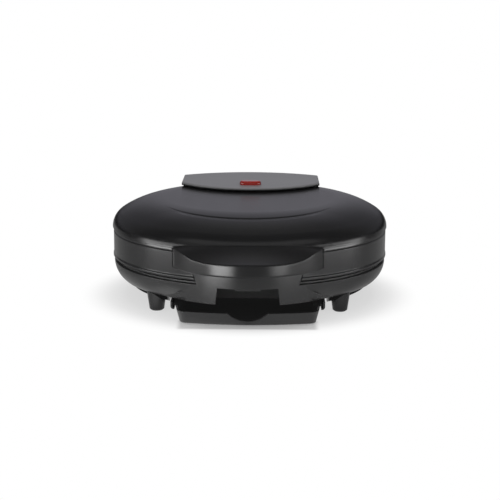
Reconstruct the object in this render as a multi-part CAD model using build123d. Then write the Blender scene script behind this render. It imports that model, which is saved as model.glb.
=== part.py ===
"""Round electric contact grill with a hinged lid and a pull-out drip tray.

Millimetres, +Z up, front towards -Y. Every piece is drawn about the upright axis of the
round body and moved on export, so that the origin lies on the table under the middle of
the whole object.
"""

import math
import os

from build123d import *

# Round body
BASE_RADIUS = 122.0          # outside of the base at its top edge
BAND_STEP = 0.5              # lid's upright band beyond the base
DOME_STEP = 0.8              # widest line of the domed top beyond the band
WALL = 2.4                   # moulded walls
BAND_RADIUS = BASE_RADIUS + BAND_STEP
DOME_RADIUS = BAND_RADIUS + DOME_STEP

# Heights of the stack, from the table up
FLOOR_Z = 8.5                # flat underside of the base
BASE_DEPTH = 24.1            # underside to the base's top edge
SEAM = 3.6                   # open seam between base and lid
BAND_HEIGHT = 22.6           # lid band, up to the crease under the dome
SHOULDER_HEIGHT = 3.3        # crease to the dome's widest line
BOWL_SIDE_RUN = 25.0         # run of the bowl's side, from its flat underside out to its edge
BOWL_ROUND = 20.3            # radius of both bends of that side
BOWL_STRAIGHT = 1.0          # least room left between them, each way
DOME_SHOULDER = 15.7         # radius of the dome's shoulder
DOME_FLANK = 72.0            # radius between the shoulder and the flat crown
SHOULDER_SLOPE = 33.0        # slope of the dome at the top of the shoulder, degrees
CREASE_INSET = 0.6           # depth of the crease under the dome
BAND_FLARE = 0.5             # rolled edge at the foot of the band
FLARE_HEIGHT = 3.4
FLARE_FLAT = 1.9             # upright part of the rolled edge
BAND_BEVEL = 0.5             # bevelled edges of the band
BASE_TOP = FLOOR_Z + BASE_DEPTH
LID_BOTTOM = BASE_TOP + SEAM
CREASE = LID_BOTTOM + BAND_HEIGHT
SHOULDER = CREASE + SHOULDER_HEIGHT
BOWL_FLAT_RADIUS = BASE_RADIUS - BOWL_SIDE_RUN
BOWL_BEND = min(BOWL_ROUND, BASE_DEPTH - BOWL_STRAIGHT, BOWL_SIDE_RUN - BOWL_STRAIGHT)
BOWL_SLOPE = math.atan2(BASE_DEPTH - BOWL_BEND, BOWL_SIDE_RUN - BOWL_BEND)

# Fits and gaps
SEAT = 0.3                   # gap under a piece that rests on another
SNUG = 0.1                   # gap between stacked pieces of one assembly
RUN_GAP = 0.3                # sideways gap of the sliding tray
PIN_RUN = 0.05               # radial gap of a turning knuckle on its pin
PIN_HOLD = 0.02              # radial gap of the pin in the fixed knuckles

# Handle at the front of the lid
HANDLE_OVERHANG = 22.5       # tip beyond the band
HANDLE_HALF_WIDTH = 62.8     # where its outline leaves the band
HANDLE_LIFT = 9.1            # its underside above the band's lower edge
HANDLE_DROP = 3.0            # its tip edge below the crease
HANDLE_CROWN = 150.0         # crosswise radius of its top at the tip
HANDLE_BLEND = 40.0          # sweep of its flanks into the band
HANDLE_ROOT = 3.0            # depth under the band's face where that sweep ends
SCOOP_MEET = 8.2             # height above the crease where its top meets the dome
SCOOP_SAG = 1.1              # hollow of its top
SCOOP_SIDE_RUN = 19.5        # run of its top behind the meeting line
SCOOP_SIDE_RISE = 7.5        # rise of its top over that run
HANDLE_TIP = BAND_RADIUS + HANDLE_OVERHANG
HANDLE_BOTTOM = LID_BOTTOM + HANDLE_LIFT
HANDLE_TIP_Z = CREASE - HANDLE_DROP
SCOOP_BACK_RUN = 29.0        # further run, hidden inside the dome
HANDLE_PANEL = 3.4           # plate that closes the handle from below
HANDLE_PANEL_INSET = 0.6
HANDLE_SCREW_INSET = 16.0    # its screws behind the tip
HANDLE_SCREW_GRIP = 4.0
HANDLE_PANEL_TOP = HANDLE_BOTTOM + HANDLE_PANEL_INSET + HANDLE_PANEL

# Curved groove across the front of the dome
GROOVE_INSET = 27.8          # front of the groove behind the dome's widest line
GROOVE_RADIUS = 77.3
GROOVE_HALF_WIDTH = 1.4
GROOVE_DEPTH = 1.1
GROOVE_TILT = 3.5            # degrees; lets both ends run out of the surface
GROOVE_FRONT = DOME_RADIUS - GROOVE_INSET

# Front tab and apron of the base
APRON_RADIUS = 90.4          # plan radius of the bulged front
APRON_OVERHANG = 4.0         # beyond the base's round edge
APRON_BACK = 36.6            # its sides end behind the base's round edge
TAB_WALL = 3.0
TAB_HALF_WIDTH = 46.0
TAB_TAPER = 3.4              # narrower at the seam, each side
TAB_GAP = 0.8                # between the tab and the handle above it
TAB_SIDE_GAP = 0.6           # between the tab and the notch in the band
NOTCH_HALF_WIDTH = 25.0
NOTCH_FLARE = 1.5            # wider at its foot, each side
NOTCH_DROP = 1.3             # top of the notch below the base's edge
APRON_FRONT = BASE_RADIUS + APRON_OVERHANG
TAB_TOP = HANDLE_BOTTOM - TAB_GAP
NOTCH_TOP = BASE_TOP - NOTCH_DROP

# Drip tray, its runners and the channel in the base
TRAY_HALF_WIDTH = 60.3
TRAY_DRAFT = 3.4             # walls lean in towards the floor
TRAY_FRONT_INSET = 4.0       # front corners behind the base's round edge
TRAY_BOW = 8.0               # middle of the front wall ahead of its corners
TRAY_LENGTH = 86.0
TRAY_LIFT = 0.6              # tray floor above the table
TRAY_FRONT_HEIGHT = 10.1
TRAY_SIDE_HEIGHT = 13.6
TRAY_WALL = 1.8
TRAY_CORNER = 7.0
TRAY_FLANGE = 2.0
TRAY_FLANGE_THICK = 1.5
TRAY_FLANGE_SETBACK = 12.0   # flange starts behind the front wall
FINGER_HALF_WIDTH = 15.8     # dip for a finger in the front wall
FINGER_DEPTH = 6.0
FINGER_LIP = 1.2
RUNNER_WALL = 1.7
RUNNER_LEDGE = 1.4
RUNNER_LEDGE_GAP = 0.8       # between a ledge and the tray's side wall
RUNNER_ROUND = 2.6           # rounded lower outer edge
RUNNER_FRONT_INSET = 10.0    # front end behind the base's round edge
CHANNEL_DEPTH = 9.0          # roof above the base's underside
CHANNEL_SIDE_ROOM = 3.0      # beside each runner
CHANNEL_END_ROOM = 2.0       # behind the tray
CHANNEL_WALL = 1.6
TRAY_FRONT = BASE_RADIUS - TRAY_FRONT_INSET
TRAY_NOSE = TRAY_FRONT + TRAY_BOW
TRAY_BOW_RADIUS = (TRAY_HALF_WIDTH ** 2 + TRAY_BOW ** 2) / (2 * TRAY_BOW)
TRAY_BACK = TRAY_FRONT - TRAY_LENGTH
TRAY_TOP = TRAY_LIFT + TRAY_SIDE_HEIGHT
TRAY_FRONT_TOP = TRAY_LIFT + TRAY_FRONT_HEIGHT
FLANGE_OUT = TRAY_HALF_WIDTH + TRAY_FLANGE
FLANGE_Z = TRAY_TOP - TRAY_FLANGE_THICK
RUNNER_OUT = FLANGE_OUT + RUN_GAP + RUNNER_WALL
LEDGE_TOP = FLANGE_Z - SEAT
CHANNEL_ROOF = FLOOR_Z + CHANNEL_DEPTH
CHANNEL_HALF = RUNNER_OUT + CHANNEL_SIDE_ROOM
CHANNEL_BACK = TRAY_BACK - CHANNEL_END_ROOM
DRIP_DEPTH = 22.0            # rear wall of the drip pocket behind the base's round edge
DRIP_WALL_GAP = 0.6          # top of the pocket's walls under the plate
DRIP_BACK = BASE_RADIUS - DRIP_DEPTH

# Grill plates
PLATE_FLANGE = 1.6           # thickness of the rim
PLATE_DEPTH = 4.4            # rim underside to the cooking floor
PLATE_FLOOR = 2.5            # thickness of the cooking floor
PLATE_DISH_INSET = 20.5      # cooking floor inside the base's outside
PLATE_DRAFT = 4.5            # slope of the dish wall, in plan
PLATE_KNEE = 1.5             # its underside turns up this far outside the floor
GUTTER_WIDTH = 5.0
GUTTER_DEPTH = 0.9
GUTTER_SLOPE = 1.0           # run of its inner side
PLATE_RIM_INSET = 2.4        # lower rim inside the base's outside
UPPER_RIM_GAP = 1.6          # upper rim inside the band's inner wall
RIM_GAP = 0.4                # between the two rims when shut
RIB_PITCH = 12.5
RIB_WIDTH = 5.6
RIB_CREST = 3.2
RIB_HEIGHT = 2.5
RIB_END_GAP = 2.5            # ribs end this far inside the gutter
SPOUT_HALF_WIDTH = 9.0
SPOUT_WALL = 1.6
SPOUT_INSET = 12.0           # drip edge behind the base's round edge
LEDGE_WIDTH = 8.0            # shelf in the base under the plate's rim, with the wall
LEDGE_THICK = 2.4
PLATE_DISH_RADIUS = BASE_RADIUS - PLATE_DISH_INSET
RIB_REACH = PLATE_DISH_RADIUS - GUTTER_WIDTH - RIB_END_GAP
SPOUT_REACH = BASE_RADIUS - SPOUT_INSET
LEDGE_INNER = BASE_RADIUS - LEDGE_WIDTH
LOWER_RIM_Z = BASE_TOP + SEAT
PLATE_UNDER = LOWER_RIM_Z - PLATE_DEPTH - PLATE_FLOOR
MIRROR_Z = LOWER_RIM_Z + PLATE_FLANGE + RIM_GAP / 2

# Heating elements, shields and fixings under each plate
ELEMENT_INSET = 29.5         # middle of the heating tube inside the dish's edge
ELEMENT_WIDTH = 7.0          # flattened tube
ELEMENT_THICK = 4.0
ELEMENT_GAP_ANGLE = 34.0     # opening at the rear, degrees
ELEMENT_LEG = 8.0            # terminal legs below the tube
LEG_RADIUS = 2.0
SHIELD_INSET = 7.5           # its edge inside the dish's edge
SHIELD_SHEET = 0.5
SHIELD_DROP = 5.4            # sheet under the plate's underside
SHIELD_HOLE_ROOM = 1.5       # round what passes through it
POST_INSET = 13.5            # posts inside the dish's edge
POST_ANGLE = 25.0            # from the X axis
POST_RADIUS = 5.0
SCREW_RADIUS = 1.5
SCREW_HEAD_RADIUS = 3.1
SCREW_HEAD = 2.2
SCREW_SLOT = 1.0             # width and depth of the slot in a head
SCREW_SLOT_LENGTH = 4.4
SCREW_END_ROOM = 0.5         # hole beyond a screw's tip
SCREW_ROOM = 0.1             # radial gap round a screw
HEAD_ROOM = 0.3
SCREW_GRIP = 9.0             # thread length in a boss
BOSS_RADIUS = 3.8
RIM_SCREW_INSET = 6.0        # screws through the upper plate's rim, inside its edge
RIM_SCREW_ANGLE = 45.0
FLAT_HEAD_RADIUS = 2.9
FLAT_HEAD = 1.45
FLAT_SLOT = 0.9              # width of its slot
SHIELD_Z = PLATE_UNDER - SHIELD_DROP
ELEMENT_RING = PLATE_DISH_RADIUS - ELEMENT_INSET
SHIELD_RADIUS = PLATE_DISH_RADIUS - SHIELD_INSET
POST_CIRCLE = PLATE_DISH_RADIUS - POST_INSET
LOWER_RIM_RADIUS = BASE_RADIUS - PLATE_RIM_INSET
UPPER_RIM_RADIUS = BAND_RADIUS - WALL - UPPER_RIM_GAP
RIM_SCREW_CIRCLE = UPPER_RIM_RADIUS - RIM_SCREW_INSET
THERMOSTAT_INSET = 32.0      # its middle inside the element's ring
THERMOSTAT_Y = ELEMENT_RING - THERMOSTAT_INSET
THERMOSTAT_RADIUS = 8.0
THERMOSTAT_HEIGHT = 7.6
BLADE_WIDTH = 5.0            # its two blade terminals
BLADE_THICK = 0.8
BLADE_LENGTH = 4.0
FUSE_X = -30.0
FUSE_RADIUS = 2.2
FUSE_LENGTH = 17.0
FUSE_LEAD = 8.0              # bare wire at each end
FUSE_LEAD_RADIUS = 0.6
TERMINAL_INSET = 13.0        # terminal block's middle inside the flat underside's edge
TERMINAL_LENGTH = 34.0
TERMINAL_WIDTH = 13.0
TERMINAL_HEIGHT = 9.0
TERMINAL_HOLE = 1.8          # radius of its wire holes
TERMINAL_Y = BOWL_FLAT_RADIUS - TERMINAL_INSET

# Hinge
HINGE_OUT = 2.0              # pin behind the base's round edge
HINGE_LIFT = 7.4             # pin above the base's top edge
PIN_RADIUS = 2.0
KNUCKLE_RADIUS = 6.0
KNUCKLE_WIDTH = 12.0
KNUCKLE_GAP = 0.4
CHEEK_INNER = 33.0           # fixed knuckles start here
CHEEK_INSET = 13.0           # front of the cheeks, inside the base's wall
CHEEK_FOOT = 13.3            # their foot below the base's top edge
PIN_HEAD = 1.4
PIN_HEAD_RADIUS = 3.4
PIN_TAIL = 1.0               # plain end beyond the groove
PIN_GROOVE = 0.8
PIN_GROOVE_DEPTH = 0.5
CLIP_THICK = 0.6             # retaining ring in the groove
CLIP_MOUTH = 2.4
STOP_REACH = 9.1             # stop rib behind the pin
STOP_LOW = 6.0               # its lower and upper ends below the pin
STOP_HIGH = 1.0
OPEN_ANGLE = 100.0           # lid fully open, degrees
ARM_INSET = 7.5              # rear of each lid arm's leg inside the band's face
ARM_DEPTH = 8.5
ARM_NECK_DROP = 1.5          # neck under the pin's height
BACK_NOTCH_ROOM = 1.5        # room in the band over and beside the knuckles
HINGE_Y = BASE_RADIUS + HINGE_OUT
HINGE_Z = BASE_TOP + HINGE_LIFT
CHEEK_ROOT = BASE_RADIUS - CHEEK_INSET
CHEEK_OUTER = CHEEK_INNER + KNUCKLE_WIDTH
ARM_OUTER = CHEEK_INNER - KNUCKLE_GAP
ARM_INNER = ARM_OUTER - KNUCKLE_WIDTH
ARM_BACK = BAND_RADIUS - ARM_INSET
ARM_FRONT = ARM_BACK - ARM_DEPTH
REAR_REACH = HINGE_Y + STOP_REACH

# Cover over the rear of the lid, with the indicator
COVER_HALF_WIDTH = 65.0
COVER_FRONT = 22.0           # middle of its front edge, from the axis
COVER_SWEEP = 35.0           # its front corners further back
COVER_OUT = 4.1              # its rear wall beyond the band
COVER_LEAN = 8.6             # rear edge of its top ahead of that wall
COVER_LIP = 4.0              # its top above the dome's
COVER_FOOT = 14.0            # rear wall's foot above the band's lower edge
COVER_ROUND = 1.5
COVER_BEND = 12.2            # its rear wall bends in this far under its top
COVER_SHOULDER = 6.0         # its rounded edge stops this far ahead of the rear bend
SHADOW_GAP = 1.4             # shadow line under the cover's edge
SHADOW_INSET = 2.0
COVER_BACK_RADIUS = BAND_RADIUS + COVER_OUT
COVER_TOP_RADIUS = COVER_BACK_RADIUS - COVER_LEAN
LENS_SETBACK = 21.0          # indicator behind the cover's front edge
LENS_HALF_LENGTH = 10.0
LENS_HALF_WIDTH = 5.4
LENS_HEIGHT = 3.6            # above the cover
LENS_ROUND = 2.2
LAMP_RADIUS = 3.0
LAMP_LENGTH = 14.0
HOLDER_WALL = 2.6
LENS_Y = COVER_FRONT + LENS_SETBACK

# Feet and cord entry
FOOT_INSET = 15.8            # feet inside the base's outside
FOOT_ANGLE = 42.0            # from the X axis, degrees
FOOT_TOP_RADIUS = 7.4        # level with the base's underside
FOOT_RADIUS = 6.2
FOOT_EDGE = 1.2              # bevel of its lower edge
GLAND_Z = 19.5
GLAND_RADIUS = 6.0
GLAND_BORE = 3.5
GLAND_FLANGE = 8.0
GLAND_FLANGE_THICK = 2.0
GLAND_SEAT = 1.0             # its flat seat round the flange
GLAND_SINK = 1.0             # flat seat for its flange behind the base's edge
GLAND_LENGTH = 9.0
FOOT_CIRCLE = BASE_RADIUS - FOOT_INSET
GLAND_FACE = BASE_RADIUS - GLAND_SINK

# The whole object's middle, front to back
CENTRE_Y = (HANDLE_TIP - REAR_REACH) / 2


def slab(x0, x1, y0, y1, z0, z1):
    """A block between two corners."""
    return Pos((x0 + x1) / 2, (y0 + y1) / 2, (z0 + z1) / 2) * Box(x1 - x0, y1 - y0, z1 - z0)


def rod_z(x, y, z0, z1, radius):
    """An upright cylinder."""
    return Pos(x, y, (z0 + z1) / 2) * Cylinder(radius, z1 - z0)


def rod_x(x0, x1, y, z, radius):
    """A cylinder along X."""
    return Pos((x0 + x1) / 2, y, z) * Rot(0, 90, 0) * Cylinder(radius, x1 - x0)


def rod_y(x, y0, y1, z, radius):
    """A cylinder along Y."""
    return Pos(x, (y0 + y1) / 2, z) * Rot(90, 0, 0) * Cylinder(radius, y1 - y0)


def path(*points):
    """Straight runs through the points, without repeats."""
    kept = [p for n, p in enumerate(points) if n == 0 or p != points[n - 1]]
    return Polyline(*kept)


def turned(outline):
    """A closed outline of radius and height, turned about the upright axis."""
    return revolve(Plane.XZ * make_face(outline), Axis.Z)


def four_places(circle, angle):
    """Four centres on a circle, mirrored front to back and left to right."""
    x = circle * math.cos(math.radians(angle))
    y = circle * math.sin(math.radians(angle))
    return (x, y), (-x, y), (-x, -y), (x, -y)


def post_places():
    """Centres of the four posts that hold each plate."""
    return four_places(POST_CIRCLE, POST_ANGLE)


def flip(shape):
    """The same piece for the lid, mirrored about the middle of the shut seam."""
    return mirror(shape, Plane((0, 0, MIRROR_Z), z_dir=(0, 0, 1)))


def bowl(grow, top):
    """The base's outer form, larger by grow all round, closed level at top."""
    out = BASE_RADIUS + grow
    under = FLOOR_Z - grow
    bend = BOWL_BEND + grow
    start, lean, leant, end = bowl_side(grow)
    turn = math.degrees(BOWL_SLOPE)
    low = CenterArc((BOWL_FLAT_RADIUS, under + bend), bend, -90, turn)
    high = CenterArc((out - bend, BASE_TOP), bend, turn - 90, 90 - turn)
    rim = max(top, BASE_TOP + 1)
    rest = path(end, (out, rim), (0, rim), (0, under), start)
    return turned(low + Line(lean, leant) + high + rest) & rod_z(0, 0, 0, top, out + 1)


def bowl_side(grow):
    """Ends of the bends of the bowl's side, from the flat underside up to its top edge."""
    bend = BOWL_BEND + grow
    out = bend * math.sin(BOWL_SLOPE)
    down = bend * math.cos(BOWL_SLOPE)
    low = (BOWL_FLAT_RADIUS, FLOOR_Z - grow + bend)
    high = (BASE_RADIUS + grow - bend, BASE_TOP)
    return [(low[0], low[1] - bend), (low[0] + out, low[1] - down),
            (high[0] + out, high[1] - down), (high[0] + bend, BASE_TOP)]


def bowl_hollow(top):
    """The hollow of the bowl, with plain slopes inside its bends."""
    side = bowl_side(-WALL)
    return turned(path(*side, (0, BASE_TOP), (0, side[0][1]), side[0])) & rod_z(0, 0, 0, top, BASE_RADIUS)


def dome_points(grow):
    """Ends of the dome's two bends, from its widest line up to the rim of its flat crown."""
    lean = math.radians(SHOULDER_SLOPE)
    bend = DOME_SHOULDER + grow
    flank = DOME_FLANK + grow
    wide = (DOME_RADIUS + grow, SHOULDER)
    knee = (wide[0] - bend * (1 - math.sin(lean)), wide[1] + bend * math.cos(lean))
    return wide, knee, (knee[0] - flank * math.sin(lean), knee[1] + flank * (1 - math.cos(lean)))


DOME_TOP = dome_points(0)[-1][1]
COVER_TOP = DOME_TOP + COVER_LIP


def dome_side(grow):
    """The dome's section from its widest line to the middle of its top, larger by grow."""
    wide, knee, crown = dome_points(grow)
    bend = DOME_SHOULDER + grow
    flank = DOME_FLANK + grow
    shoulder = CenterArc((wide[0] - bend, wide[1]), bend, 0, 90 - SHOULDER_SLOPE)
    side = CenterArc((crown[0], crown[1] - flank), flank, 90 - SHOULDER_SLOPE, SHOULDER_SLOPE)
    return shoulder + side + Line(crown, (0, crown[1]))


def dome():
    """The domed top down to the crease, drawn in at its foot."""
    foot = (BAND_RADIUS - CREASE_INSET, CREASE)
    return turned(dome_side(0) + path((0, DOME_TOP), (0, CREASE), foot, (DOME_RADIUS, SHOULDER)))


def lid_envelope(gap):
    """The whole lid's outside, larger by gap."""
    wide = dome_points(gap)[0]
    return turned(dome_side(gap) + path((0, DOME_TOP + gap), (0, LID_BOTTOM), (wide[0], LID_BOTTOM), wide))


def lid_hollow(inset):
    """The lid's hollow, smaller by inset than its outside, with plain slopes inside its bends."""
    wide, knee, crown = dome_points(-inset)
    wall = BAND_RADIUS - inset
    return turned(path((0, 0), (wall, 0), (wall, wide[1]), knee, crown, (0, crown[1]), (0, 0)))


def dome_height(radius):
    """Height of the dome's surface at a distance from the axis, inside its shoulder."""
    beyond = max(0, radius - dome_points(0)[-1][0])
    return DOME_TOP - DOME_FLANK + math.sqrt(DOME_FLANK ** 2 - beyond ** 2)


def handle_circle(inset):
    """The handle's plan arc as a full disc, smaller by inset."""
    back = math.sqrt(BAND_RADIUS ** 2 - HANDLE_HALF_WIDTH ** 2)
    sagitta = HANDLE_TIP - back
    radius = (HANDLE_HALF_WIDTH ** 2 + sagitta ** 2) / (2 * sagitta)
    return Pos(0, radius - HANDLE_TIP) * Circle(radius - inset)


def handle_block():
    """The solid handle: a plan arc with swept flanks under a hollowed, crowned top."""
    outline = handle_circle(0) + Circle(BAND_RADIUS - HANDLE_ROOT)
    plan = Pos(0, 0, HANDLE_BOTTOM) * extrude(outline, DOME_TOP - HANDLE_BOTTOM)
    flanks = [e for e in plan.edges().filter_by(Axis.Z) if e.center().Y < -BAND_RADIUS / 2]
    plan = fillet(flanks, HANDLE_BLEND)
    plan &= slab(-BAND_RADIUS, BAND_RADIUS, -HANDLE_TIP - 1, -BAND_RADIUS / 2, 0, DOME_TOP)
    tip = (-HANDLE_TIP, HANDLE_TIP_Z)
    meet = (-BAND_RADIUS, CREASE + SCOOP_MEET)
    middle = ((tip[0] + meet[0]) / 2, (tip[1] + meet[1]) / 2 - SCOOP_SAG)
    side = (meet[0] + SCOOP_SIDE_RUN, meet[1] + SCOOP_SIDE_RISE)
    axis_z = HANDLE_TIP_Z - HANDLE_CROWN
    scoop = ThreePointArc(tip, middle, meet)
    rise = TangentArc(meet, side, tangent=scoop % 1)
    back = rise @ 1 + (rise % 1) * SCOOP_BACK_RUN
    front = scoop @ 0 - (scoop % 0)
    rest = Polyline(side, (back.X, back.Y), (back.X, axis_z), (front.X, axis_z), (front.X, front.Y), tip)
    face = make_face(scoop + rise + rest)
    crown = revolve(Plane.YZ * face, Axis((0, 0, axis_z), (0, 1, 0)))
    return plan & crown


def handle_pocket(inset, z0, z1):
    """The handle's hollow, in front of the band."""
    pocket = Pos(0, 0, z0) * extrude(handle_circle(WALL + inset), z1 - z0)
    return pocket - rod_z(0, 0, z0, z1, BAND_RADIUS + WALL + inset)


def lid_top():
    """Domed lid shell with its handle, groove and inner bosses."""
    shell = dome() + handle_block()
    shell -= rod_z(0, 0, 0, CREASE, BAND_RADIUS + SNUG)
    shell -= lid_hollow(WALL)
    shell -= handle_pocket(0, 0, HANDLE_TIP_Z - WALL)
    shell -= groove_cutter()
    rim_top = 2 * MIRROR_Z - LOWER_RIM_Z
    bosses = [rod_z(x, y, rim_top + SNUG, DOME_TOP, BOSS_RADIUS) for x, y in rim_places()]
    for x, y in arm_places():
        half = KNUCKLE_WIDTH / 2
        bosses.append(slab(x - half, x + half, ARM_FRONT, ARM_BACK, CREASE, DOME_TOP))
    holder_z = dome_height(LENS_Y) - LAMP_LENGTH
    bosses.append(rod_z(0, LENS_Y, holder_z, DOME_TOP, LAMP_RADIUS + 2 * SNUG + HOLDER_WALL))
    shell += (Part() + bosses) & lid_room()
    for x, y in handle_screw_places():
        hole_end = HANDLE_PANEL_TOP + HANDLE_SCREW_GRIP + SCREW_END_ROOM
        shell += rod_z(x, y, HANDLE_PANEL_TOP + SNUG, HANDLE_TIP_Z - WALL / 2, BOSS_RADIUS)
        shell -= rod_z(x, y, 0, hole_end, SCREW_RADIUS + SCREW_ROOM)
    for x, y in rim_places():
        shell -= rod_z(x, y, 0, rim_top + SCREW_GRIP + SCREW_END_ROOM, SCREW_RADIUS + SCREW_ROOM)
    for x, y in arm_places():
        shell -= rod_z(x, y, 0, CREASE + SCREW_GRIP + SCREW_END_ROOM, SCREW_RADIUS + SCREW_ROOM)
    return shell - rod_z(0, LENS_Y, holder_z - 1, DOME_TOP + 1, LAMP_RADIUS + 2 * SNUG)


def groove_cutter():
    """Tilted sharp ring whose front cuts the curved groove in the dome."""
    tilt = math.radians(GROOVE_TILT)
    level = dome_height(GROOVE_FRONT)
    centre_z = level + GROOVE_RADIUS * math.sin(tilt)
    centre_y = GROOVE_RADIUS * math.cos(tilt) - GROOVE_FRONT
    above = 2 * GROOVE_DEPTH
    half = GROOVE_HALF_WIDTH * (GROOVE_DEPTH + above) / GROOVE_DEPTH
    ring = Polyline((GROOVE_RADIUS, -GROOVE_DEPTH), (GROOVE_RADIUS + half, above),
                    (GROOVE_RADIUS - half, above), close=True)
    return Pos(0, centre_y, centre_z) * Rot(GROOVE_TILT, 0, 0) * turned(ring)


def rim_places():
    """Centres of the four screws through the upper plate's rim."""
    return four_places(RIM_SCREW_CIRCLE, RIM_SCREW_ANGLE)


def arm_places():
    """Centres of the lid arms' legs."""
    for side in (-1, 1):
        yield side * (ARM_INNER + ARM_OUTER) / 2, (ARM_FRONT + ARM_BACK) / 2


def handle_screw_places():
    """Centres of the two screws in the handle's underside."""
    for side in (-1, 1):
        yield side * HANDLE_HALF_WIDTH / 2, HANDLE_SCREW_INSET - HANDLE_TIP


def lid_room():
    """The space inside the lid, where its bosses may stand, half into the dome's wall."""
    return lid_hollow(WALL / 2) & rod_z(0, 0, 0, DOME_TOP, BAND_RADIUS - WALL - 2 * SNUG)


def lid_band():
    """Upright satin band, notched for the front tab and the rear knuckles."""
    inner = BAND_RADIUS - WALL
    out = BAND_RADIUS + BAND_FLARE
    section = Polyline(
        (inner, LID_BOTTOM), (out - BAND_BEVEL, LID_BOTTOM), (out, LID_BOTTOM + BAND_BEVEL),
        (out, LID_BOTTOM + FLARE_FLAT), (BAND_RADIUS, LID_BOTTOM + FLARE_HEIGHT),
        (BAND_RADIUS, CREASE - BAND_BEVEL), (BAND_RADIUS - BAND_BEVEL, CREASE), (inner, CREASE), close=True)
    band = turned(section)
    top = TAB_HALF_WIDTH + TAB_SIDE_GAP
    slope = TAB_TAPER / (TAB_TOP - BASE_TOP)
    foot = top - slope * (HANDLE_BOTTOM - LID_BOTTOM + 1)
    gap = Polyline((-foot, LID_BOTTOM - 1), (foot, LID_BOTTOM - 1), (top, HANDLE_BOTTOM),
                   (-top, HANDLE_BOTTOM), close=True)
    band -= extrude(Plane.XZ * make_face(gap), HANDLE_TIP)
    half = CHEEK_OUTER + BACK_NOTCH_ROOM + PIN_HEAD
    band -= slab(-half, half, 0, HINGE_Y, 0, HINGE_Z + KNUCKLE_RADIUS + BACK_NOTCH_ROOM)
    return band


def handle_underside():
    """Panel that closes the handle from below."""
    under = HANDLE_BOTTOM + HANDLE_PANEL_INSET
    panel = handle_pocket(2 * SNUG, under, HANDLE_PANEL_TOP)
    for x, y in handle_screw_places():
        panel -= rod_z(x, y, 0, CREASE, SCREW_RADIUS + SCREW_ROOM)
        panel -= rod_z(x, y, 0, under + SCREW_HEAD + HEAD_ROOM, SCREW_HEAD_RADIUS + HEAD_ROOM)
    return panel


def screw(x, y, head_z, tip_z):
    """A pan-head screw; its head lies on the side away from its tip."""
    way = 1 if tip_z > head_z else -1
    face = head_z - way * SCREW_HEAD
    head = rod_z(x, y, *sorted((head_z, face)), SCREW_HEAD_RADIUS)
    slot = Pos(x, y, face) * Box(SCREW_SLOT_LENGTH, SCREW_SLOT, 2 * SCREW_SLOT)
    shank = rod_z(x, y, *sorted((head_z, tip_z)), SCREW_RADIUS)
    return head + shank - slot


def grill_plate(rim_radius, spout):
    """Ribbed plate seen from below as it lies in the base; the lid's is its mirror image."""
    rim_top = LOWER_RIM_Z + PLATE_FLANGE
    floor = PLATE_UNDER + PLATE_FLOOR
    dish = PLATE_DISH_RADIUS
    section = Polyline(
        (0, PLATE_UNDER), (dish + PLATE_KNEE, PLATE_UNDER), (dish + PLATE_KNEE + PLATE_DRAFT, LOWER_RIM_Z),
        (rim_radius, LOWER_RIM_Z), (rim_radius, rim_top), (dish + PLATE_DRAFT, rim_top),
        (dish, floor - GUTTER_DEPTH), (dish - GUTTER_WIDTH + GUTTER_SLOPE, floor - GUTTER_DEPTH),
        (dish - GUTTER_WIDTH, floor), (0, floor), close=True)
    plate = turned(section)
    root = floor - PLATE_FLOOR / 2
    rib = Polyline((-RIB_WIDTH / 2, root), (RIB_WIDTH / 2, root), (RIB_WIDTH / 2, floor),
                   (RIB_CREST / 2, floor + RIB_HEIGHT), (-RIB_CREST / 2, floor + RIB_HEIGHT),
                   (-RIB_WIDTH / 2, floor), close=True)
    count = int((RIB_REACH - RIB_WIDTH / 2) / RIB_PITCH)
    field = []
    for n in range(-count, count + 1):
        reach = math.sqrt(RIB_REACH ** 2 - (abs(n) * RIB_PITCH + RIB_WIDTH / 2) ** 2)
        field.append(Pos(n * RIB_PITCH, 0, 0) * extrude(Plane.XZ * make_face(rib), reach, both=True))
    plate += field
    for x, y in post_places():
        plate += rod_z(x, y, SHIELD_Z + SHIELD_SHEET + SNUG, PLATE_UNDER, POST_RADIUS)
    for x, y in post_places():
        plate -= rod_z(x, y, 0, PLATE_UNDER + SCREW_END_ROOM, SCREW_RADIUS + SCREW_ROOM)
    if spout:
        out = SPOUT_HALF_WIDTH + SPOUT_WALL
        low = floor - GUTTER_DEPTH - SPOUT_WALL
        plate += slab(-out, out, -SPOUT_REACH, -dish, low, LOWER_RIM_Z)
        plate -= slab(-SPOUT_HALF_WIDTH, SPOUT_HALF_WIDTH, -SPOUT_REACH - 1, -dish + GUTTER_WIDTH / 2,
                      low + SPOUT_WALL, LOWER_RIM_Z)
    return plate


def upper_plate():
    """The lid's plate, drilled for flat-head screws in its rim."""
    plate = flip(grill_plate(UPPER_RIM_RADIUS, False))
    face = 2 * MIRROR_Z - LOWER_RIM_Z - PLATE_FLANGE
    for x, y in rim_places():
        plate -= rod_z(x, y, face - 1, face + 2 * PLATE_FLANGE, SCREW_RADIUS + SCREW_ROOM)
        sink = Cone(FLAT_HEAD_RADIUS + SCREW_ROOM, SCREW_RADIUS + SCREW_ROOM, FLAT_HEAD)
        plate -= Pos(x, y, face + FLAT_HEAD / 2) * sink
    return plate


def leg_places():
    """Centres of the heating tube's two terminal legs."""
    a = math.radians(ELEMENT_GAP_ANGLE / 2) + ELEMENT_WIDTH / 2 / ELEMENT_RING
    for side in (-1, 1):
        yield side * ELEMENT_RING * math.sin(a), ELEMENT_RING * math.cos(a)


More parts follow.
